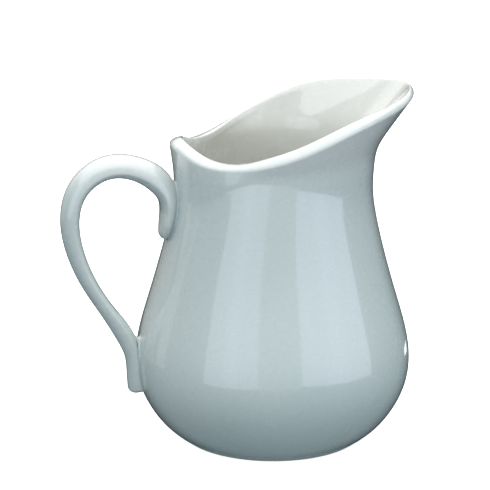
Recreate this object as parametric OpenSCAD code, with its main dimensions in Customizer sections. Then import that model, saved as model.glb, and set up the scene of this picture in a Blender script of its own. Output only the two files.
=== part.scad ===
// Ceramic table pitcher: pear-shaped body with a pulled spout, a strap
// handle luted on at neck and belly, and a low foot ring.
// Millimetres. +Z is up, +X points to the spout, the handle is on the -X
// side, and the origin is on the body's axis in the plane it stands on.

/* [Part to show] */
// which sub-part is drawn

/* [Body] */
// outside radius at the table
foot_r = 45; // [42:0.5:48]
// fullest radius of the belly
belly_r = 69.5; // [66:0.5:73]
// radius of the neck under the spout
neck_r = 49; // [47:0.5:51]
// height of the neck under the spout and at the handle
neck_z = 125; // [120:1:128]
// radius of the neck at the side
side_neck_r = 50.5; // [48:0.5:52]
// height of the neck at the side
side_neck_z = 139; // [132:1:142]
// radius of the neck 120 degrees off the spout
rear_neck_r = 47.5; // [46:0.5:50]
// height of the neck there
rear_neck_z = 143; // [135:1:144]
// radius of the neck at the handle
back_neck_r = 50; // [47:0.5:51]
// thickness of the wall
wall_t = 4.2; // [3:0.1:5]
// thickness of the rolled lip
lip_t = 6.5; // [5.5:0.1:7]
// thickness of the lip at the tip of the spout
spout_lip_t = 3.4; // [3:0.1:5]
// thickness of the floor
floor_t = 5; // [4:0.5:8]

/* [Mouth, spout to handle] */
// reach of the spout from the axis
spout_r = 74; // [68:0.5:77]
// height of the spout
spout_z = 176.5; // [168:0.5:180]
// reach 30 degrees off the spout
lobe_r = 62; // [58:0.5:65]
// height 30 degrees off the spout
lobe_z = 171; // [166:0.5:175]
// reach 60 degrees off the spout
front_r = 58; // [54:0.5:60]
// height 60 degrees off the spout
front_z = 167.5; // [162:0.5:171]
// reach at the side
side_r = 53; // [51:0.5:56]
// height at the side
side_z = 153; // [150:0.5:158]
// reach 120 degrees off the spout, where the mouth is lowest
rear_r = 47; // [45:0.5:50]
// height of the mouth there
rear_z = 146.5; // [145:0.5:150]
// reach of the raised lip over the handle
back_r = 53.5; // [51:0.5:57]
// height of the raised lip over the handle
back_z = 155; // [152:0.5:160]

/* [Foot ring] */
// height of the ring under the body
foot_h = 3.5; // [2.5:0.5:5]
// inside radius of the ring at the table
foot_in_r = 38; // [34:0.5:40]
// rounding of the ring's edges
foot_edge = 0.8; // [0.4:0.1:1]

/* [Handle] */
// thickness of the strap at the top of the loop
strap_t = 11.75; // [10:0.25:13]
// width of the strap where it leaves the neck
strap_w = 19; // [16:0.5:21]
// lowest point of the upper end
upper_tip_z = 105; // [100:0.5:108]
// lowest point of the lower end
lower_tip_z = 26; // [22:0.5:30]
// how far the middle of a pressed end stands off the slip
edge_rise = 1.5; // [1:0.25:2]
// thickness of the slip in the joints
slip_t = 0.6; // [0.4:0.1:1]

/* [Hidden] */

$fn = 144;
around = 72;    // columns round the body
up_rows = 26;   // rows up the outside
in_rows = 18;   // rows down the inside
lip_rows = 9;   // rows over the lip
strap_pts = 24; // points round the strap
lip_edge = 0.9; // rounding of the lip's inner edge
ridge = 0.4;    // share of the strap's half thickness from its middle to its widest line
key = 0.15;     // depth the slip fills of the scored clay

floor_z = foot_h + floor_t;
upper_crotch_z = 138; // where the top of the loop leaves the neck
lower_crotch_z = 57;  // where the inside of the loop meets the belly

// ---- curves ----

// smooth curve guided by the points c, at u from 0 to len(c) - 1
function curve(c, u) =
    let (n = len(c) - 1, i = min(floor(u), n - 1), t = u - i,
         before = i == 0 ? 2*c[0] - c[1] : c[i - 1],
         after = i + 2 > n ? 2*c[n] - c[n - 1] : c[i + 2])
    ((1 - t)^3*before + (3*t^3 - 6*t^2 + 4)*c[i]
     + (-3*t^3 + 3*t^2 + 3*t + 1)*c[i + 1] + t^3*after)/6;

// direction of that curve
function heading(c, u) =
    let (d = curve(c, min(u + 0.01, len(c) - 1)) - curve(c, max(u - 0.01, 0))) d/norm(d);

// value at angle a of stations 30 degrees apart, the same on both sides
function station(s, a) =
    let (b = abs(a > 180 ? a - 360 : a)/30)
    curve(concat([s[1]], s, [s[5]]), b + 1);

// ---- body ----

// reach and height of the rim, thickness of the lip, then reach and height of the neck,
// at each station
rim_r = [spout_r, lobe_r, front_r, side_r, rear_r, rear_r + 1.5, back_r];
rim_z = [spout_z, lobe_z, front_z, side_z, rear_z, rear_z - 1.5, back_z];
lip_s = [for (a = [0:30:180]) a < 90 ? spout_lip_t + (lip_t - spout_lip_t)*pow(sin(a), 2) : lip_t];
waist_r = [neck_r, neck_r, (neck_r + side_neck_r)/2, side_neck_r, rear_neck_r,
           (rear_neck_r + back_neck_r)/2, back_neck_r];
waist_z = [neck_z, neck_z, neck_z + 1.5, side_neck_z, rear_neck_z, neck_z - 6, neck_z];

// guide points of the outside from the table to the shoulder, [radius, height]
belly = [[foot_r, 0], [foot_r + 13, 0.072*neck_z], [belly_r, 0.232*neck_z],
         [belly_r, 0.4*neck_z], [0.61*belly_r + 0.39*neck_r, 0.6*neck_z],
         [0.27*belly_r + 0.73*neck_r, 0.8*neck_z]];

// guide points of the outside at angle a, up to the rim
function meridian(a) =
    let (n = [station(waist_r, a), station(waist_z, a)],
         rise = [station(rim_r, a), station(rim_z, a)] - n)
    concat(belly, [for (s = [[0, 0], [0.05, 0.28], [0.1, 0.53], [0.55, 0.76], [1, 1]])
        [n.x + s.x*rise.x, n.y + s.y*rise.y]]);

// guide point k moved inward by the wall, which thickens up to a lip of thickness t
// over the last four
function inset(m, k, t) =
    let (n = len(m) - 1, d = m[min(k + 1, n)] - m[k - 1],
         w = wall_t + (t - wall_t)*max(0, (k - n + 4)/4))
    m[k] + w*[-d.y, d.x]/norm(d);

// guide points of the inside, from the floor to a lip of thickness t
function lining(m, t) = concat(
    [[14, floor_z], [32, floor_z], [foot_r + 5, floor_z + 2.5]],
    [for (k = [2:len(m) - 1]) inset(m, k, t)]);

// place on the outside, from the table up, where it reaches height z
function climb(m, z, lo, hi, n = 20) =
    let (mid = (lo + hi)/2)
    n == 0 ? mid : curve(m, mid).y < z ? climb(m, z, mid, hi, n - 1) : climb(m, z, lo, mid, n - 1);

// where the outside meets the foot ring
seam_u = climb(meridian(180), foot_h, 0, 2);

// lip rolled outward from the outside o over to the inside i, along d, its inner edge tight
function lip(o, i, d) =
    let (t = norm(o - i), across = (o - i)/t, crest = i + lip_edge*across)
    concat([for (w = [15:15:90]) crest + (t - lip_edge)*cos(w)*across + t/2*sin(w)*d],
           [for (w = [120:30:180])
               crest + lip_edge*cos(w)*across + (t/2 - lip_edge*(1 - sin(w)))*d]);

// one upright section of the body at angle a, outside then inside
function section(a) =
    let (m = meridian(a), l = lining(m, station(lip_s, a)), n = len(m) - 1, q = len(l) - 1)
    concat([for (k = [0:up_rows]) curve(m, seam_u + (n - seam_u)*k/up_rows)],
           lip(m[n], l[q], heading(m, n)),
           [for (k = [in_rows:-1:0]) curve(l, q*k/in_rows)]);

module vessel() {
    rows = up_rows + in_rows + lip_rows + 2;
    pts = [for (j = [0:around - 1]) let (a = 360*j/around)
        for (p = section(a)) [p.x*cos(a), p.x*sin(a), p.y]];
    sides = [for (j = [0:around - 1], i = [0:rows - 2])
        let (p = j*rows + i, q = (j + 1)%around*rows + i) each [[p, p + 1, q + 1], [p, q + 1, q]]];
    under = [for (j = [0:around - 1]) [around*rows, j*rows, (j + 1)%around*rows]];
    inside = [for (j = [0:around - 1])
        [around*rows + 1, (j + 1)%around*rows + rows - 1, j*rows + rows - 1]];
    color("aliceblue")
    polyhedron(concat(pts, [[0, 0, foot_h], [0, 0, floor_z]]), concat(sides, under, inside));
}

// ---- foot ring ----

module foot_ring() {
    m = meridian(180);
    outer = [for (k = [1:5]) curve(m, seam_u*k/5)];
    e = foot_edge;
    toe = [for (w = [-90:15:-30]) [foot_r - e/2 + e*cos(w)*0.5, e + e*sin(w)]];
    heel = [for (w = [180:15:270]) [foot_in_r + e + e*cos(w), e + e*sin(w)]];
    color("linen")
    rotate_extrude()
    polygon(concat(toe, outer, [[foot_in_r - 3, foot_h]], heel));
}

// ---- handle ----

back = meridian(180);

// radius of the outside under the handle at height z
function wall_r(z) = curve(back, climb(back, z, 0, len(back) - 1)).x;

// guide point of a strap end pressed on the wall at height z, its outer half
// standing t off the wall: centre x, centre z, thickness, width
function pressed(z, t, w) = [-wall_r(z) - slip_t - edge_rise, z, 2*(t - edge_rise), w];

// the same for the whole strap from its upper tip to its lower tip
strap = [
    pressed(upper_tip_z, 4.2, strap_w - 2),
    pressed(upper_tip_z + 9, 5.2, strap_w + 1),
    pressed(upper_tip_z + 20, 6.2, strap_w + 1),
    [-57, 135, 13.5, strap_w],
    [-68.5, 142, strap_t, strap_w - 1.5],
    [-84, 144.5, strap_t, strap_w - 2],
    [-100, 133.5, 10.25, strap_w - 3],
    [-104, 112.5, 9.25, strap_w - 4],
    [-96, 87.5, 8.25, strap_w - 5],
    [-84.5, 69.5, 7, strap_w - 6],
    [-75.8, 57.4, 10, strap_w - 6],
    pressed(lower_tip_z + 20, 5.4, strap_w - 5),
    pressed(lower_tip_z + 10, 5.1, strap_w - 4),
    pressed(lower_tip_z, 6.8, strap_w - 4.5)];

// point pushed out of the wall to where the slip lies
function off_wall(p) =
    let (r = norm([p.x, p.y]), need = wall_r(p.z) + slip_t)
    r >= need ? p : [p.x*need/r, p.y*need/r, p.z];

// how full the strap is at u, rounding both tips over length c
function tip(u, c) =
    let (e = min(u, len(strap) - 1 - u)) e >= c ? 1 : sqrt(max(0, 1 - (1 - e/c)^2));

// one loop of points round the strap at u: bevelled toward the inside of the loop,
// domed outside, with an edge along its widest line
function strap_loop(u) =
    let (s = curve(strap, u), d = heading(strap, u), h = [d.x, d.y]/norm([d.x, d.y]),
         a = s[2]/2*tip(u, 0.35), b = s[3]/2*tip(u, u < 5 ? 1 : 0.3))
    [for (k = [0:strap_pts - 1]) let (w = 360*k/strap_pts, bevel = cos(w) > 0,
        out = a*(ridge + (bevel ? (1 - ridge)*cos(w)^2 : -(1 + ridge)*pow(abs(cos(w)), 0.9))),
        side = b*sign(sin(w))*pow(abs(sin(w)), bevel ? 0.8 : 0.9))
        off_wall([s.x - h.y*out, side, s.y + h.x*out])];

// a closed skin over equal loops, with a middle point at each end
module skin(loops, first, last) {
    n = len(loops);
    m = len(loops[0]);
    sides = [for (j = [0:n - 2], i = [0:m - 1])
        let (p = j*m + i, q = j*m + (i + 1)%m) each [[p, q, q + m], [p, q + m, p + m]]];
    heads = [for (i = [0:m - 1]) each [[n*m, (i + 1)%m, i],
        [n*m + 1, (n - 1)*m + i, (n - 1)*m + (i + 1)%m]]];
    polyhedron(concat([for (l = loops) each l], [first, last]), concat(sides, heads));
}

module handle() {
    n = len(strap) - 1;
    us = concat([for (w = [15:15:75]) 1 - cos(w)], [for (u = [1:0.25:n - 1]) u],
                [for (w = [75:-15:15]) n - 1 + cos(w)]);
    color("white")
    skin([for (u = us) strap_loop(u)],
         off_wall([curve(strap, 0).x, 0, curve(strap, 0).y]),
         off_wall([curve(strap, n).x, 0, curve(strap, n).y]));
}

// ---- slip in the joints ----

// a cushion of slip on the wall, centred at height z, half height hz, half width hw
module slip(z, hz, hw) {
    steps = 6;
    cols = 32;
    function spot(k, w, top) =
        let (f = k/steps, c = cos(w), s = sin(w),
             y = hw*f*sign(s)*pow(abs(s), 0.7), h = z + hz*f*sign(c)*pow(abs(c), 0.7),
             r = wall_r(h) + (top ? (slip_t + key)*sqrt(1 - f^6) : 0) - (f < 1 && !top ? key : 0))
        [-sqrt(r^2 - y^2), y, h];
    color("seashell")
    skin(concat([for (k = [1:steps]) [for (j = [0:cols - 1]) spot(k, 360*j/cols, true)]],
                [for (k = [steps - 1:-1:1]) [for (j = [0:cols - 1]) spot(k, 360*j/cols, false)]]),
         spot(0, 0, true), spot(0, 0, false));
}

// a cushion under a strap end, from its tip up to its crotch, w wide
module joint(tip_z, crotch_z, w) slip((tip_z + crotch_z)/2, (crotch_z - tip_z)/2 + 0.8, w/2);

module upper_joint_slip() joint(upper_tip_z, upper_crotch_z, strap_w + 2);

module lower_joint_slip() joint(lower_tip_z, lower_crotch_z, strap_w - 3.2);

vessel();
foot_ring();
handle();
upper_joint_slip();
lower_joint_slip();
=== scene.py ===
import math

import bpy
import numpy as np
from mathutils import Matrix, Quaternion, Vector
from mathutils.bvhtree import BVHTree


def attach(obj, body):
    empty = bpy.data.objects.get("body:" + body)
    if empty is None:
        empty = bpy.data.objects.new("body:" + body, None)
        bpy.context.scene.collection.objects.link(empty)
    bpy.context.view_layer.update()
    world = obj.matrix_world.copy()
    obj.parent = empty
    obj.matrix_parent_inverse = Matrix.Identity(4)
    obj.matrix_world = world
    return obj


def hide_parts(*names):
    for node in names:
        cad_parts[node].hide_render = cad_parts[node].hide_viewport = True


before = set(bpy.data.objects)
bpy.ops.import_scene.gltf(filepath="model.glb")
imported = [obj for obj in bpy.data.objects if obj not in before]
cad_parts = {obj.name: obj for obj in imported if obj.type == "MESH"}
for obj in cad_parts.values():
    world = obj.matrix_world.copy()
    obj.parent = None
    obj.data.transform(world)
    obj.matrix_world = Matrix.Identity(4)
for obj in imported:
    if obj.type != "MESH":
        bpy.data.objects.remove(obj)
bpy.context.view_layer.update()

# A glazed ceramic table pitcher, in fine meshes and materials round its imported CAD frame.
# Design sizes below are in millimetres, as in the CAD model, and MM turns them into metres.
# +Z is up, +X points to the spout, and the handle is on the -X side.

MM = 0.001

# ---- sizes of the body, as in the CAD model ----

FOOT_R = 45
BELLY_R = 69.5
NECK_R = 49
NECK_Z = 125
WALL_T = 4.2
LIP_EDGE = 0.9   # rounding of the lip's inner edge
FULL_LIP_T = 6.5
SPOUT_LIP_T = 3.4
FLOOR_T = 5
FOOT_H = 3.5
FOOT_IN_R = 38
FLOOR_Z = FOOT_H + FLOOR_T
# reach and height of the rim, every 30 degrees from the spout round to the handle
RIM_R = [74, 62, 58, 53, 47, 48.5, 53.5]
RIM_Z = [176.5, 171, 167.5, 153, 146.5, 145, 155]
# thickness of the lip there, full from the side round to the handle
LIP_T = [SPOUT_LIP_T + (FULL_LIP_T - SPOUT_LIP_T)*math.sin(math.radians(min(a, 90)))**2
         for a in range(0, 181, 30)]
# reach and height of the neck there
WAIST_R = [49, 49, 49.75, 50.5, 47.5, 48.75, 50]
WAIST_Z = [125, 125, 126.5, 139, 143, 119, 125]

# ---- sizes of the handle ----

STRAP_T = 11.75
STRAP_W = 19
UPPER_TIP_Z = 105
LOWER_TIP_Z = 26
SLIP_T = 0.6     # slip between strap and wall
EDGE_RISE = 1.5  # middle of a pressed end stands this far off the slip
RIDGE = 0.4      # share of the strap's half thickness from its middle to its widest line

# ---- details that only the fine meshes have ----

SLACK = 0.02       # the fine curves keep this far inside the CAD facets at the lip and the strap
WANDER = 0.09      # how far the cast wall wanders inward
DOME_RISE = 0.9    # rise of the underside in its middle
DOME_R = 40
RING_DEPTH = 0.05  # faint tool rings on the underside
SOLE_ROUND = 0.8   # rounding of the foot ring's sole
POLE_R = 2         # the surfaces close on a middle point from this radius
ARCH_LOW_Z = 128   # from this height the top of the arch is painted whiter, as lit from above, and is whitest this much higher
ARCH_FADE = 20     # and is thinnest this much higher
UPPER_JOINT_Z = 121
LOWER_JOINT_Z = 42
FILLET_SINK = 0.2  # a fillet starts this far inside the wall
FILLET_OVERLAP = 0.03  # and its rolled face ends this far inside the wall and the strap
BACK_SINK = 0.15   # its back lies this far inside the wall
FRONT_SINK = 0.1   # its front lies this far inside the strap
FRONT_INSET = 0.4  # and keeps this far from the strap's edge

# ---- fineness of the meshes ----

COLUMNS = 288
UNDER_ROWS = 44
UP_ROWS = 150
ROLL_ROWS = 12
EDGE_ROWS = 6
IN_ROWS = 100
FLOOR_ROWS = 7
STRAP_COLUMNS = 80
FILLET_SPOKES = 160
FILLET_STEPS = 12


# ---------------------------------------------------------------- curves

def curve(guides, u):
    """Points, at each u from 0 to len(guides) - 1, of the smooth curve that the guides lead."""
    c = np.asarray(guides, float)
    n = len(c) - 1
    c = np.vstack([2*c[0] - c[1], c, 2*c[-1] - c[-2]])
    u = np.atleast_1d(np.asarray(u, float))
    i = np.clip(np.floor(u).astype(int), 0, n - 1)
    t = (u - i)[:, None]
    return ((1 - t)**3*c[i] + (3*t**3 - 6*t**2 + 4)*c[i + 1]
            + (-3*t**3 + 3*t**2 + 3*t + 1)*c[i + 2] + t**3*c[i + 3])/6


def heading(guides, u):
    """Unit direction of that curve at each u."""
    u = np.atleast_1d(np.asarray(u, float))
    ahead = curve(guides, np.minimum(u + 0.01, len(guides) - 1))
    d = ahead - curve(guides, np.maximum(u - 0.01, 0))
    return d/np.linalg.norm(d, axis=1)[:, None]


def station(values, angle):
    """Value at an angle from the spout of stations 30 degrees apart, the same on both sides."""
    b = abs((angle + 180) % 360 - 180)/30
    mirrored = np.array([values[1], *values, values[5]], float)[:, None]
    return float(curve(mirrored, b + 1)[0, 0])


# ---------------------------------------------------------------- body sections

BELLY = [(FOOT_R, 0), (FOOT_R + 13, 0.072*NECK_Z), (BELLY_R, 0.232*NECK_Z), (BELLY_R, 0.4*NECK_Z),
         (0.61*BELLY_R + 0.39*NECK_R, 0.6*NECK_Z), (0.27*BELLY_R + 0.73*NECK_R, 0.8*NECK_Z)]


def meridian(angle):
    """Guide points (radius, height) of the outside, from the table to the rim."""
    r, z = station(RIM_R, angle), station(RIM_Z, angle)
    waist_r, waist_z = station(WAIST_R, angle), station(WAIST_Z, angle)
    shares = [(0, 0), (0.05, 0.28), (0.1, 0.53), (0.55, 0.76), (1, 1)]
    return np.array(BELLY + [(waist_r + a*(r - waist_r), waist_z + b*(z - waist_z)) for a, b in shares])


def lining(m, lip_t):
    """Guide points of the inside, from the floor to a lip of that thickness."""
    n = len(m) - 1
    points = [(14, FLOOR_Z), (32, FLOOR_Z), (FOOT_R + 5, FLOOR_Z + 2.5)]
    for k in range(2, n + 1):
        d = m[min(k + 1, n)] - m[k - 1]
        t = WALL_T + (lip_t - WALL_T)*max(0, (k - n + 4)/4)
        points.append(m[k] + t*np.array([-d[1], d[0]])/np.hypot(*d))
    return np.array(points)


BACK = meridian(180)
BACK_LINE = curve(BACK, np.linspace(0, len(BACK) - 1, 4000))


def wall_r(z):
    """Radius of the outside at the handle, at each height z."""
    return np.interp(z, BACK_LINE[:, 1], BACK_LINE[:, 0])


SEAM_U = float(np.interp(FOOT_H, BACK_LINE[:, 1], np.linspace(0, len(BACK) - 1, 4000)))


def body_section(angle):
    """Points (radius, height) of one upright section of the body, and each point's row value.

    The section runs from the middle of the underside over the outside, the lip and the
    inside to the middle of the floor. The row value is 0 to 1 up the outside, 1 to 2 over
    the lip and 2 to 3 down the inside.
    """
    m = meridian(angle)
    inner = lining(m, station(LIP_T, angle))
    n, q = len(m) - 1, len(inner) - 1
    outside = curve(m, np.linspace(SEAM_U, n, UP_ROWS + 1))
    inside = curve(inner, np.linspace(q, 0, IN_ROWS + 1))
    o, i, d = outside[-1], inside[0], heading(m, n)[0]
    # the lip rolls outward from a tight inner edge
    t = np.linalg.norm(o - i)
    across = (o - i)/t
    crest = i + LIP_EDGE*across
    w = np.radians(np.linspace(6, 90, ROLL_ROWS))[:, None]
    roll = crest + (t - LIP_EDGE)*np.cos(w)*across + (t/2 - SLACK)*np.sin(w)*d
    w = np.radians(np.linspace(105, 180, EDGE_ROWS))[:, None]
    edge = crest + LIP_EDGE*np.cos(w)*across + (t/2 - SLACK - LIP_EDGE*(1 - np.sin(w)))*d
    lip = np.vstack([roll, edge])
    # turned underside: a shallow dome with faint tool rings, inside the foot ring
    r = np.linspace(POLE_R, outside[0, 0] - 0.4, UNDER_ROWS)
    dome = DOME_RISE*(1 - (r/DOME_R)**2).clip(0) + RING_DEPTH*np.sin(r*1.9)*(r < 36)
    under = np.column_stack([r, FOOT_H + dome])
    floor_r = np.linspace(inside[-1, 0], POLE_R, FLOOR_ROWS + 1)[1:]
    floor = np.column_stack([floor_r, np.full(FLOOR_ROWS, FLOOR_Z)])
    rows = np.concatenate([np.zeros(len(under)), np.linspace(0, 1, len(outside)),
                           1 + np.linspace(0, 1, len(lip) + 2)[1:-1],
                           2 + np.linspace(0, 1, len(inside) + len(floor))])
    return np.vstack([under, outside, lip, inside, floor]), rows


# ---------------------------------------------------------------- meshes

def skin(name, loops, poles=None, values=None):
    """A closed, smooth mesh over loops of equally many points, in millimetres.

    With poles, the first and last loop close on one middle point each. Without, the last
    loop joins the first. values maps an attribute's name to one number for each point,
    the poles last. The faces point out of the body and the foot ring, but into the handle
    and the joint fillets, whose loops turn the other way about their path.
    """
    count, size = len(loops), len(loops[0])
    points = np.vstack(list(loops) + ([np.array(poles)] if poles is not None else []))
    faces = []
    for j in range(count - 1 if poles is not None else count):
        a, b = j*size, (j + 1) % count*size
        for i in range(size):
            k = (i + 1) % size
            faces.append((a + i, a + k, b + k, b + i))
    if poles is not None:
        first, last = count*size, count*size + 1
        for i in range(size):
            k = (i + 1) % size
            faces.append((first, k, i))
            faces.append((last, (count - 1)*size + i, (count - 1)*size + k))
    mesh = bpy.data.meshes.new(name)
    mesh.from_pydata((points*MM).tolist(), [], faces)
    mesh.update()
    mesh.polygons.foreach_set("use_smooth", [True]*len(mesh.polygons))
    for key, numbers in (values or {}).items():
        layer = mesh.attributes.new(key, "FLOAT", "POINT")
        layer.data.foreach_set("value", np.asarray(numbers, np.float32))
    piece = bpy.data.objects.new(name, mesh)
    bpy.context.scene.collection.objects.link(piece)
    return piece


def surface_tree(piece):
    """A search tree over a piece's faces, in millimetres."""
    points = [v.co/MM for v in piece.data.vertices]
    return BVHTree.FromPolygons(points, [tuple(p.vertices) for p in piece.data.polygons])


def make_body():
    """The body in one closed surface, with attributes for the whiter lip, partly thinner glaze and
    partly painted light from above, and for the inside past it.
    """
    angles = np.arange(COLUMNS)*360/COLUMNS
    sections = [body_section(a) for a in angles]
    grid = np.array([points for points, _ in sections])    # columns, rows, (radius, height)
    turn = np.radians(angles)[:, None]
    # the cast wall wanders, except in the middle of the floor and the underside
    r, z = grid[:, :, 0], grid[:, :, 1]
    wave = (np.sin(3*turn + z/17 + 0.6) + np.sin(5*turn - z/11 + 2.1) + np.sin(2*turn + z/29))/6 - 0.5
    r = r + WANDER*wave*(r > 10)
    points = np.stack([r*np.cos(turn), r*np.sin(turn), z], axis=2)
    loops = [points[:, k] for k in range(points.shape[1])]
    poles = [(0, 0, FOOT_H + DOME_RISE), (0, 0, FLOOR_Z)]
    row = np.repeat(sections[0][1], COLUMNS)
    # lip crest whiter: partly thinner glaze, partly painted light from above
    lip = np.concatenate([0.1*np.exp(-((row - 1.4)/0.35)**2), [0, 0]])
    inside = np.concatenate([np.clip((row - 1.45)/0.25, 0, 1), [0, 1]])
    return skin("pitcher_body", loops, poles, {"thin_and_lit": lip, "inside": inside})


# ---------------------------------------------------------------- foot ring

def make_foot():
    """The foot ring: it carries on the body's curve outside and is rounded where it stands."""
    outer = curve(BACK, np.linspace(0.06, 1, 30)*SEAM_U)
    w = np.radians(np.linspace(-90, -30, 10))
    toe_r = FOOT_R - SOLE_ROUND/2*(1 - np.cos(w))
    toe = np.column_stack([toe_r, SOLE_ROUND*(1 + np.sin(w))])
    w = np.radians(np.linspace(180, 270, 12))
    heel_r = FOOT_IN_R + SOLE_ROUND*(1 + np.cos(w))
    heel = np.column_stack([heel_r, SOLE_ROUND*(1 + np.sin(w))])
    shelf = np.linspace(outer[-1], (FOOT_IN_R - 2.5, FOOT_H), 8)[1:]
    bank = np.linspace(shelf[-1], heel[0], 9)[1:-1]
    sole = np.linspace(heel[-1], toe[0], 14)[1:-1]
    section = np.vstack([toe, outer, shelf, bank, heel, sole])
    turn = np.radians(np.arange(COLUMNS)*360/COLUMNS)
    loops = [np.column_stack([r*np.cos(turn), r*np.sin(turn), np.full(COLUMNS, z)]) for r, z in section]
    return skin("pitcher_foot", loops)


# ---------------------------------------------------------------- handle

def pressed(z, t, w):
    """Guide point of a strap end on the wall at height z, standing t off it and w wide."""
    return (-wall_r(z) - SLIP_T - EDGE_RISE, z, 2*(t - EDGE_RISE), w)


# centre x, centre z, thickness and width from the upper tip round to the lower one
STRAP = np.array([
    pressed(UPPER_TIP_Z, 4.2, STRAP_W - 2),
    pressed(UPPER_TIP_Z + 9, 5.2, STRAP_W + 1),
    pressed(UPPER_TIP_Z + 20, 6.2, STRAP_W + 1),
    (-57, 135, 13.5, STRAP_W),
    (-68.5, 142, STRAP_T, STRAP_W - 1.5),
    (-84, 144.5, STRAP_T, STRAP_W - 2),
    (-100, 133.5, 10.25, STRAP_W - 3),
    (-104, 112.5, 9.25, STRAP_W - 4),
    (-96, 87.5, 8.25, STRAP_W - 5),
    (-84.5, 69.5, 7, STRAP_W - 6),
    (-75.8, 57.4, 10, STRAP_W - 6),
    pressed(LOWER_TIP_Z + 20, 5.4, STRAP_W - 5),
    pressed(LOWER_TIP_Z + 10, 5.1, STRAP_W - 4),
    pressed(LOWER_TIP_Z, 6.8, STRAP_W - 4.5)])


def off_wall(points):
    """The points, pushed out of the wall to where the slip lies."""
    r = np.hypot(points[:, 0], points[:, 1])
    push = np.maximum(1, (wall_r(points[:, 2]) + SLIP_T)/np.maximum(r, 1))[:, None]
    return points*np.hstack([push, push, np.ones_like(push)])


def strap_tip(u, length):
    """How full the strap is at u, rounding both tips over a length."""
    e = min(u, len(STRAP) - 1 - u)
    return 1 if e >= length else math.sqrt(max(0, 1 - (1 - e/length)**2))


def strap_loop(u):
    """One loop of points round the strap at u, and how near each is to the strap's edges.

    The strap is bevelled toward the inside of the loop and domed outside, with an edge
    along its widest line.
    """
    x, z, thick, wide = curve(STRAP, u)[0]
    d = heading(STRAP, u)[0][:2]
    d = d/np.linalg.norm(d)
    a = (thick/2 - SLACK)*strap_tip(u, 0.35)
    b = wide/2*strap_tip(u, 1 if u < 5 else 0.3)
    w = np.radians(np.arange(STRAP_COLUMNS)*360/STRAP_COLUMNS)
    bevel = np.cos(w) > 0
    out = a*(RIDGE + np.where(bevel, (1 - RIDGE)*np.cos(w)**2, -(1 + RIDGE)*np.abs(np.cos(w))**0.9))
    side = np.sign(np.sin(w))*np.abs(np.sin(w))**np.where(bevel, 0.8, 0.9)
    loop = np.column_stack([x - d[1]*out, b*side, z + d[0]*out])
    return off_wall(loop), np.abs(side)**6


def make_handle():
    """The strap, with an attribute whiter on its edges, where the glaze is thinner, and over the top of
    the arch, a painted light from above.
    """
    n = len(STRAP) - 1
    ease = 0.5*(1 - np.cos(np.radians(np.arange(3, 90, 3))))     # closer loops at both tips
    us = np.concatenate([ease, np.arange(0.5, n - 0.5, 0.05), n - ease[::-1]])
    loops, edges = zip(*[strap_loop(u) for u in us])
    tips = curve(STRAP, [0, n])
    poles = off_wall(np.column_stack([tips[:, 0], [0, 0], tips[:, 1]]))
    # painted light: the top of the arch whiter, as lit from above
    arch = np.clip((np.concatenate(loops)[:, 2] - ARCH_LOW_Z)/ARCH_FADE, 0, 1)
    thin_and_lit = np.concatenate([np.maximum(0.35*np.concatenate(edges), 0.7*arch), [0, 0]])
    return skin("strap_handle", loops, poles, {"thin_and_lit": thin_and_lit})


# ---------------------------------------------------------------- joints

def fillet_ball(rho, w, middle_z, rad, strap, body):
    """A ball of radius rad on the wall, rho from the joint's middle at angle w.

    Gives where it touches the wall, the wall's normal there, its centre, the strap's
    nearest point and the gap left between them.
    """
    y, z = rho*math.cos(w), middle_z + rho*math.sin(w)
    place, normal, _, _ = body.ray_cast(Vector((-200, y, z)), Vector((1, 0, 0)))
    centre = place + rad*normal
    near, _, _, distance = strap.find_nearest(centre)
    return place, normal, centre, near, distance - rad


def on_wall(y, z, lift):
    """Point at y and z, lift off the wall at the handle."""
    r = wall_r(z) + lift
    return (-math.sqrt(r*r - y*y), y, z)


def make_joint(name, middle_z, strap, body, radius):
    """Slip under a strap end, with a rolled fillet between the strap and the wall.

    radius(w) is the fillet's radius where the strap's outline lies at angle w from the
    joint's middle, 0 to the side and 90 degrees up. A ball of that radius rolls round the
    strap on the wall, and the fillet is the arc between the places it touches.
    """
    reach, coarse, halvings = 26, 0.5, 14
    front = SLIP_T + FRONT_SINK
    spokes = []
    for w in np.arange(FILLET_SPOKES)*2*math.pi/FILLET_SPOKES:
        rad = radius(w)
        low, high = 0.0, reach
        for rho in np.arange(reach, 0, -coarse):
            if fillet_ball(rho, w, middle_z, rad, strap, body)[4] < 0:
                low, high = rho, rho + coarse
                break
        for _ in range(halvings):
            mid = (low + high)/2
            if fillet_ball(mid, w, middle_z, rad, strap, body)[4] < 0:
                low = mid
            else:
                high = mid
        place, normal, centre, near, _ = fillet_ball(high, w, middle_z, rad, strap, body)
        # back, inside the wall
        y, z = high*math.cos(w), high*math.sin(w)
        spoke = [on_wall(y*share, middle_z + z*share, -BACK_SINK) for share in (0.3, 0.65, 0.9)]
        spoke.append(tuple(place - normal*FILLET_SINK))
        # rolled face, both ends of it just inside the strap and the wall
        start, end = place - centre, near - centre
        for k in range(FILLET_STEPS + 1):
            f = k/FILLET_STEPS
            past = FILLET_OVERLAP*(k in (0, FILLET_STEPS))
            spoke.append(tuple(centre + (start*(1 - f) + end*f).normalized()*(rad + past)))
        # front, under the strap
        inner = near - (near - Vector((near.x, 0, middle_z))).normalized()*FRONT_INSET
        for share in (0.92, 0.65, 0.35, 0.12):
            spoke.append(on_wall(inner.y*share, middle_z + (inner.z - middle_z)*share, front))
        spokes.append(spoke)
    loops = list(np.array(spokes).transpose(1, 0, 2))
    return skin(name, loops, [on_wall(0, middle_z, -BACK_SINK), on_wall(0, middle_z, front)])


# ---------------------------------------------------------------- material nodes

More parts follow.
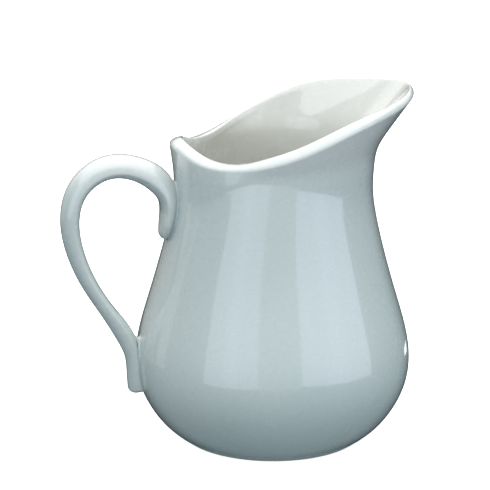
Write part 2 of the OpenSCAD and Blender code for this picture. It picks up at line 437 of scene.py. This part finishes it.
class Nodes:
    """Short ways to add and link the nodes of one material."""

    def __init__(self, name):
        self.material = bpy.data.materials.new(name)
        self.material.use_nodes = True
        self.tree = self.material.node_tree
        self.tree.nodes.clear()
        self.out = self.tree.nodes.new("ShaderNodeOutputMaterial")
        self.place = self.tree.nodes.new("ShaderNodeTexCoord").outputs["Object"]

    def link(self, a, b):
        self.tree.links.new(a, b)

    def put(self, socket, value):
        if isinstance(value, bpy.types.NodeSocket):
            self.link(value, socket)
        else:
            socket.default_value = value

    def noise(self, scale, detail=2.0, rough=0.5, stretch=(1, 1, 1)):
        spread = self.tree.nodes.new("ShaderNodeMapping")
        spread.inputs["Scale"].default_value = stretch
        self.link(self.place, spread.inputs["Vector"])
        n = self.tree.nodes.new("ShaderNodeTexNoise")
        self.link(spread.outputs[0], n.inputs["Vector"])
        n.inputs["Scale"].default_value = scale
        n.inputs["Detail"].default_value = detail
        n.inputs["Roughness"].default_value = rough
        return n.outputs["Fac"]

    def dots(self, scale, size):
        """1 inside sparse round spots and 0 elsewhere."""
        n = self.tree.nodes.new("ShaderNodeTexVoronoi")
        self.link(self.place, n.inputs["Vector"])
        n.inputs["Scale"].default_value = scale
        return self.span(n.outputs["Distance"], size, size*0.4, 0, 1)

    def span(self, value, low, high, to_low=0.0, to_high=1.0):
        """value moved from low..high to to_low..to_high, and held there."""
        n = self.tree.nodes.new("ShaderNodeMapRange")
        self.put(n.inputs["Value"], value)
        n.inputs["From Min"].default_value = low
        n.inputs["From Max"].default_value = high
        n.inputs["To Min"].default_value = to_low
        n.inputs["To Max"].default_value = to_high
        return n.outputs["Result"]

    def math(self, kind, a, b):
        n = self.tree.nodes.new("ShaderNodeMath")
        n.operation = kind
        self.put(n.inputs[0], a)
        self.put(n.inputs[1], b)
        return n.outputs[0]

    def mix(self, share, a, b):
        n = self.tree.nodes.new("ShaderNodeMix")
        n.data_type = "RGBA"
        self.put(n.inputs["Factor"], share)
        self.put(n.inputs["A"], a)
        self.put(n.inputs["B"], b)
        return n.outputs["Result"]

    def attribute(self, name):
        n = self.tree.nodes.new("ShaderNodeAttribute")
        n.attribute_name = name
        return n.outputs["Fac"]

    def height(self):
        n = self.tree.nodes.new("ShaderNodeSeparateXYZ")
        self.link(self.place, n.inputs[0])
        return n.outputs["Z"]

    def bump(self, layers):
        """Normal from (height, distance in metres) layers."""
        normal = None
        for value, distance in layers:
            n = self.tree.nodes.new("ShaderNodeBump")
            n.inputs["Distance"].default_value = distance
            self.put(n.inputs["Height"], value)
            if normal:
                self.link(normal, n.inputs["Normal"])
            normal = n.outputs[0]
        return normal

    def surface(self, **values):
        shader = self.tree.nodes.new("ShaderNodeBsdfPrincipled")
        for key, value in values.items():
            self.put(shader.inputs[key.replace("_", " ")], value)
        self.link(shader.outputs[0], self.out.inputs["Surface"])
        return self.material


WHITE_GLAZE = (0.59, 0.65, 0.635, 1)    # thin over white clay
GREY_GLAZE = (0.47, 0.565, 0.565, 1)    # thick, blue-grey, and mixed in towards the bottom
WARM_LIT_GLAZE = (0.75, 0.74, 0.68, 1)      # painted light: the warmer, lighter inside under the overhead light, and a painted highlight where the strap parts from the wall
THIN_AND_LIT_GLAZE = (0.80, 0.79, 0.76, 1)      # on edges and the lip where the glaze is thinner, and painted light high up and on the arch, as lit from above
POOLED_AND_SHADED_GLAZE = (0.36, 0.44, 0.45, 1)    # pooled deep in a groove, and darker there as painted shade
CLAY = (0.66, 0.60, 0.51, 1)
STAINED_CLAY = (0.50, 0.46, 0.40, 1)
SPECK = (0.30, 0.25, 0.20, 1)


def glaze_nodes(name):
    """The common glaze: a colour that varies with its thickness and greys towards the bottom, and its
    relief.
    """
    n = Nodes(name)
    runs = n.span(n.noise(24, 2, 0.5, (1, 1, 0.25)), 0.2, 0.8)
    clouds = n.span(n.noise(420, 3, 0.6), 0.2, 0.8)
    thick = n.math("ADD", n.math("MULTIPLY", runs, 0.3), n.math("MULTIPLY", clouds, 0.3))
    # greyer towards the bottom, below 60 mm
    low = n.span(n.height(), 0.06, 0.002, 0, 0.5)
    thick = n.math("ADD", thick, low)
    colour = n.mix(thick, WHITE_GLAZE, GREY_GLAZE)
    rough = n.span(n.noise(140, 3), 0.3, 0.7, 0.24, 0.30)
    relief = [(n.noise(38, 1), 0.00002), (n.noise(420, 2), 0.000004), (n.dots(160, 0.05), -0.00004)]
    return n, colour, rough, relief


def finish_glaze(n, colour, rough, relief):
    """The glaze's shader: a few iron specks in a body colour, under a hard clear coat."""
    specks = n.math("MULTIPLY", n.dots(75, 0.035), n.span(n.noise(31), 0.6, 0.66))
    colour = n.mix(specks, colour, SPECK)
    return n.surface(Base_Color=colour, Roughness=rough, IOR=1.5, Coat_Weight=1.0,
                     Coat_Roughness=0.025, Coat_IOR=1.7, Normal=n.bump(relief))


def glaze_material():
    """The body's and the handle's glaze: painted warmer and lighter inside, as the overhead light falls
    in it, and whiter on edges, where the glaze is thinner, and high up, a painted light from above.
    """
    n, colour, rough, relief = glaze_nodes("glaze")
    # painted light: the inside warmer and lighter, as the overhead light falls in it
    colour = n.mix(n.math("MULTIPLY", n.attribute("inside"), 0.75), colour, WARM_LIT_GLAZE)
    # painted light: whiter high up on the neck, the lip and the arch, as lit from above
    high = n.span(n.height(), 0.138, 0.156, 0, 0.5)
    colour = n.mix(n.math("MAXIMUM", n.attribute("thin_and_lit"), high), colour, THIN_AND_LIT_GLAZE)
    return finish_glaze(n, colour, rough, relief)


def joint_material():
    """Glaze pooled dark along the joints, partly painted shade in the groove, with a painted warm
    highlight where the strap parts from the wall.
    """
    n, colour, rough, relief = glaze_nodes("joint_glaze")
    # darker along the joints: partly pooled glaze, partly painted shade in the groove
    pool_and_shade = n.span(n.noise(90, 2), 0.35, 0.65, 0.55, 0.85)
    colour = n.mix(pool_and_shade, colour, POOLED_AND_SHADED_GLAZE)
    # painted highlight: warm and lighter at the top of the upper joint and at the lower joint's crotch
    top = n.span(n.height(), 0.131, 0.138)
    low = n.math("MULTIPLY", n.span(n.height(), 0.052, 0.058), n.span(n.height(), 0.066, 0.062))
    return finish_glaze(n, n.mix(n.math("ADD", top, low), colour, WARM_LIT_GLAZE), rough, relief)


def foot_material():
    """The common glaze without its coat, and bare matt clay where the ring stands."""
    n, colour, rough, relief = glaze_nodes("foot_clay")
    edge = n.math("ADD", n.height(), n.span(n.noise(60, 3), 0.3, 0.7, -0.00025, 0.00025))
    bare = n.span(edge, 0.0016, 0.0012)
    grain = n.noise(1500, 4, 0.7)
    stain = n.span(n.noise(70, 4, 0.65), 0.35, 0.7)
    clay = n.mix(n.math("MULTIPLY", stain, 0.5), CLAY, STAINED_CLAY)
    colour = n.mix(bare, colour, clay)
    rough = n.math("ADD", rough, n.math("MULTIPLY", bare, 0.55))
    relief = relief + [(n.math("MULTIPLY", grain, bare), 0.00006), (bare, -0.00012)]
    return n.surface(Base_Color=colour, Roughness=rough, IOR=1.5, Normal=n.bump(relief))


# ---------------------------------------------------------------- pieces

def dress(piece, material, slot, *nodes):
    """Gives a piece its material, in place of the CAD nodes named. slot is not used."""
    piece.data.materials.append(material)
    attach(piece, "root")
    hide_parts(*nodes)


glaze = glaze_material()
joint_glaze = joint_material()
body = make_body()
foot = make_foot()
handle = make_handle()
body_tree, strap_tree = surface_tree(body), surface_tree(handle)
upper = make_joint("upper_joint_fillet", UPPER_JOINT_Z, strap_tree, body_tree,
                   lambda w: 0.95 - 0.55*max(0, math.sin(w))**6)
lower = make_joint("lower_joint_fillet", LOWER_JOINT_Z, strap_tree, body_tree,
                   lambda w: 1.1 + 0.6*max(0, math.sin(w))**6)
dress(body, glaze, "glaze", "vessel")
dress(foot, foot_material(), "foot_clay", "foot_ring")
dress(handle, glaze, "glaze", "handle")
dress(upper, joint_glaze, "joint_glaze", "upper_joint_slip")
dress(lower, joint_glaze, "joint_glaze", "lower_joint_slip")


# ---------------------------------------------------------------- stage

# lengths in metres and angles in degrees from here on
VIEW_TURN, VIEW_TILT, VIEW_ROLL = 12, 16, 0.2
VIEW_AWAY = 1.35
LENS, SENSOR_W = 198.4, 36                       # both in millimetres
AIM = Vector((-0.0136, 0.0029, 0.0983))          # where the camera looks
MIDDLE_Z = 0.09                                  # the height that the lamps stand round
PANEL_AWAY = 1.2
WINDOW_TINT = (0.84, 0.91, 1.08)
CURTAIN_TINT = (0.84, 0.97, 0.96)
WALL_TINT = (1, 0.93, 0.82)
WHITE = (1, 1, 1)
# the room's colours from straight down, 0, to straight up, 1
ROOM_COLOURS = [(0.0, (0.19, 0.24, 0.255)), (0.3, (0.19, 0.24, 0.255)), (0.45, (0.19, 0.23, 0.235)),
                (0.6, (0.21, 0.245, 0.245)), (0.75, (0.28, 0.32, 0.32)), (1.0, (0.45, 0.47, 0.47))]


def outward(turn, tilt):
    """Unit direction from the object, turned right of the camera and tilted up, in degrees."""
    a, e = math.radians(turn - VIEW_TURN), math.radians(tilt)
    return Vector((math.sin(a)*math.cos(e), -math.cos(a)*math.cos(e), math.sin(e)))


def make_camera():
    """A long lens, turned from the object's side toward the handle and tilted down on it."""
    camera = bpy.data.objects.new("camera", bpy.data.cameras.new("camera"))
    bpy.context.scene.collection.objects.link(camera)
    camera.data.sensor_width = SENSOR_W
    camera.data.lens = LENS
    away = outward(0, VIEW_TILT)
    camera.location = AIM + VIEW_AWAY*away
    camera.rotation_mode = "QUATERNION"
    roll = Quaternion((0, 0, 1), math.radians(VIEW_ROLL))
    camera.rotation_quaternion = (-away).to_track_quat("-Z", "Y") @ roll
    bpy.context.scene.camera = camera


def make_panel(name, turn, half_turn, low, high, glow, tint=WHITE, core=0.0, roll=0.0):
    """An upright soft box round the object, from turn - half_turn to turn + half_turn degrees.

    It reaches from low to high degrees above the object's middle. glow is its brightness
    as the camera would see it, core is how much brighter its middle line is, and roll turns
    it in its own plane, in degrees.
    """
    width = 2*PANEL_AWAY*math.tan(math.radians(half_turn))
    bottom, top = (PANEL_AWAY*math.tan(math.radians(e)) for e in (low, high))
    lamp = area_lamp(name, width, top - bottom, glow, tint)
    out = outward(turn, 0)
    lamp.location = Vector((0, 0, MIDDLE_Z + (bottom + top)/2)) + PANEL_AWAY*out
    lamp.rotation_quaternion = out.to_track_quat("Z", "Y") @ Quaternion((0, 0, 1), math.radians(roll))
    if core:
        brighten_middle(lamp.data, core)


def brighten_middle(light, core):
    """Makes an area light brighter by core along its upright middle line, fading to its sides."""
    light.use_nodes = True
    tree = light.node_tree
    across = tree.nodes.new("ShaderNodeNewGeometry").outputs["Parametric"]
    parts = tree.nodes.new("ShaderNodeSeparateXYZ")
    off = tree.nodes.new("ShaderNodeMath")
    off.operation = "SUBTRACT"
    off.inputs[1].default_value = 0.5
    size = tree.nodes.new("ShaderNodeMath")
    size.operation = "ABSOLUTE"
    spread = tree.nodes.new("ShaderNodeMapRange")
    spread.interpolation_type = "SMOOTHSTEP"
    spread.inputs["From Max"].default_value = 0.22
    spread.inputs["To Min"].default_value = 1 + core
    spread.inputs["To Max"].default_value = 1
    tree.links.new(across, parts.inputs[0])
    tree.links.new(parts.outputs["X"], off.inputs[0])
    tree.links.new(off.outputs[0], size.inputs[0])
    tree.links.new(size.outputs[0], spread.inputs["Value"])
    tree.links.new(spread.outputs["Result"], tree.nodes["Emission"].inputs["Strength"])


def area_lamp(name, width, height, glow, tint):
    """A rectangular light that the camera doesn't see, glow bright where it is reflected."""
    light = bpy.data.lights.new(name, "AREA")
    light.shape = "RECTANGLE"
    light.size, light.size_y = width, height
    light.color = tint
    light.energy = glow*width*height*math.pi
    lamp = bpy.data.objects.new(name, light)
    bpy.context.scene.collection.objects.link(lamp)
    lamp.rotation_mode = "QUATERNION"
    lamp.visible_camera = False
    return lamp


def make_ceiling(tilt, side, glow):
    """A square soft box overhead, its middle tilt degrees up from the camera's side."""
    lamp = area_lamp("ceiling", side, side, glow, WHITE)
    out = outward(0, tilt)
    lamp.location = Vector((0, 0, MIDDLE_Z)) + PANEL_AWAY*out
    lamp.rotation_quaternion = out.to_track_quat("Z", "Y")


def make_card(turn, tilt, away, glow):
    """A small white card behind, low on the right, that lights only the belly."""
    lamp = area_lamp("back_card", 0.05, 0.014, glow, WHITE)
    lamp.data.spread = math.radians(22)
    lamp.location = Vector((0, 0, MIDDLE_Z)) + away*outward(turn, tilt)
    belly = BELLY_R*MM*outward(74, 0) + Vector((0, 0, 0.055))
    lamp.rotation_quaternion = (lamp.location - belly).to_track_quat("Z", "Y")


def make_floor():
    """A plain pale floor, seen by the camera only: the glaze reflects the room instead."""
    mesh = bpy.data.meshes.new("floor")
    half = 6
    corners = [(-half, -half, 0), (half, -half, 0), (half, half, 0), (-half, half, 0)]
    mesh.from_pydata(corners, [], [(0, 1, 2, 3)])
    floor = bpy.data.objects.new("floor", mesh)
    bpy.context.scene.collection.objects.link(floor)
    n = Nodes("pale_floor")
    tone = n.mix(n.noise(3, 3), (0.86, 0.86, 0.86, 1), (0.90, 0.90, 0.90, 1))
    mesh.materials.append(n.surface(Base_Color=tone, Roughness=0.9, IOR=1.3, Emission_Color=(1, 1, 1, 1),
                                    Emission_Strength=0.8))
    floor.visible_diffuse = False
    floor.visible_glossy = False
    floor.visible_shadow = False


def make_surroundings():
    """A quiet room: pale overhead, blue-grey at eye level and below, and dark straight behind."""
    world = bpy.data.worlds.new("studio")
    bpy.context.scene.world = world
    world.use_nodes = True
    tree = world.node_tree
    tree.nodes.clear()
    place = tree.nodes.new("ShaderNodeTexCoord")
    parts = tree.nodes.new("ShaderNodeSeparateXYZ")
    ramp = tree.nodes.new("ShaderNodeValToRGB")
    shift = tree.nodes.new("ShaderNodeMapRange")
    shift.inputs["From Min"].default_value = -1
    sky = tree.nodes.new("ShaderNodeBackground")
    out = tree.nodes.new("ShaderNodeOutputWorld")
    tree.links.new(place.outputs["Generated"], parts.inputs[0])
    tree.links.new(parts.outputs["Z"], shift.inputs["Value"])
    tree.links.new(shift.outputs["Result"], ramp.inputs["Fac"])
    tree.links.new(ramp.outputs["Color"], sky.inputs["Color"])
    behind = tree.nodes.new("ShaderNodeVectorMath")
    behind.operation = "DOT_PRODUCT"
    behind.inputs[1].default_value = -outward(0, VIEW_TILT)
    shade = tree.nodes.new("ShaderNodeMapRange")
    shade.inputs["From Min"].default_value = math.cos(math.radians(48))
    shade.inputs["From Max"].default_value = math.cos(math.radians(18))
    shade.inputs["To Min"].default_value = 1
    shade.inputs["To Max"].default_value = 0.1
    tree.links.new(place.outputs["Generated"], behind.inputs[0])
    tree.links.new(behind.outputs["Value"], shade.inputs["Value"])
    tree.links.new(shade.outputs["Result"], sky.inputs["Strength"])
    tree.links.new(sky.outputs[0], out.inputs["Surface"])
    elements = ramp.color_ramp.elements
    for element, (height, tint) in zip(elements, (ROOM_COLOURS[0], ROOM_COLOURS[-1])):
        element.position = height
        element.color = (*tint, 1)
    for height, tint in ROOM_COLOURS[1:-1]:
        elements.new(height).color = (*tint, 1)


make_camera()
make_floor()
make_surroundings()
make_panel("left_window", turn=-34.5, half_turn=22.5, low=-11, high=24,
           glow=0.92, tint=WINDOW_TINT, core=0.25, roll=1.5)
make_panel("right_window", turn=55.5, half_turn=32, low=-10.5, high=24,
           glow=1.13, tint=WINDOW_TINT, core=0.2, roll=-3)
make_panel("curtain", turn=5.75, half_turn=17.75, low=-11, high=24, glow=0.33, tint=CURTAIN_TINT)
make_panel("left_strip", turn=-104, half_turn=6, low=-12, high=24, glow=0.4)
make_panel("left_wall", turn=-136, half_turn=22, low=-14, high=30, glow=0.22, tint=WALL_TINT)
make_panel("back_light", turn=180, half_turn=60, low=22, high=52, glow=0.7)
make_card(turn=138.5, tilt=-19.8, away=0.34, glow=0.035)
make_ceiling(tilt=84, side=3.2, glow=1.38)
bpy.context.scene.view_settings.view_transform = "Standard"
